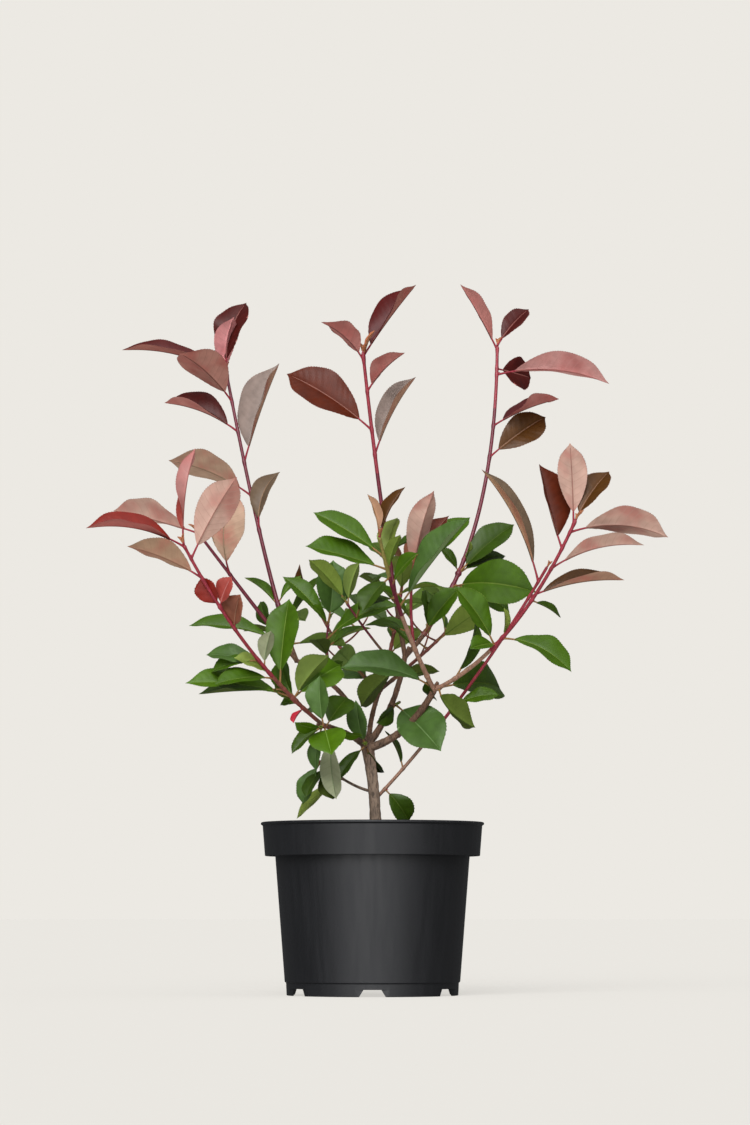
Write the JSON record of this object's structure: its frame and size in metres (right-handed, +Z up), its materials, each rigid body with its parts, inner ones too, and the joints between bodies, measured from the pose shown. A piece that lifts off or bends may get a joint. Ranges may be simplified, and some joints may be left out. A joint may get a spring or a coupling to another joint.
{
  "type": "potted photinia shrub",
  "caption": "Young red-tipped photinia shrub in a round black nursery pot: trunk forking into boughs, upright shoots with red new leaves over green older foliage.",
  "frame": {"origin": "on the ground under the middle of the pot's base", "axes": "+Z up along the pot's axis, +X to the right and +Y to the back as seen from the picture's side"},
  "size_m": [0.578, 0.3605, 0.7553],
  "materials": {
    "pot_plastic": "satin moulded polypropylene",
    "soil": "moist peat and bark fines",
    "bark": "thin grey-brown bark",
    "red_foliage": "glossy young red leaves on red stems",
    "green_foliage": "leathery green leaves"
  },
  "bodies": {
    "root": {"pot": "pot_plastic", "potting_soil": "soil", "trunk": "bark", "bough_right": "bark", "bough_centre": "bark", "bough_left": "bark", "bough_back_left": "bark", "bough_back": "bark", "shoot_left_high": "red_foliage", "shoot_left_mid": "red_foliage", "shoot_left_low": "red_foliage", "shoot_centre_high": "red_foliage", "shoot_centre_front": "green_foliage", "shoot_centre_young": "red_foliage", "shoot_right_high": "red_foliage", "shoot_right_low": "red_foliage", "shoot_right_side": "red_foliage", "twig_inner_left": "green_foliage", "twig_inner_back": "green_foliage", "twig_front_left": "green_foliage", "twig_foot_left": "green_foliage", "spur_centre": "green_foliage", "spur_front": "green_foliage", "shoot_back_low": "green_foliage", "shoot_back_left": "green_foliage", "shoot_back_right": "green_foliage"}
  },
  "joints": []
}
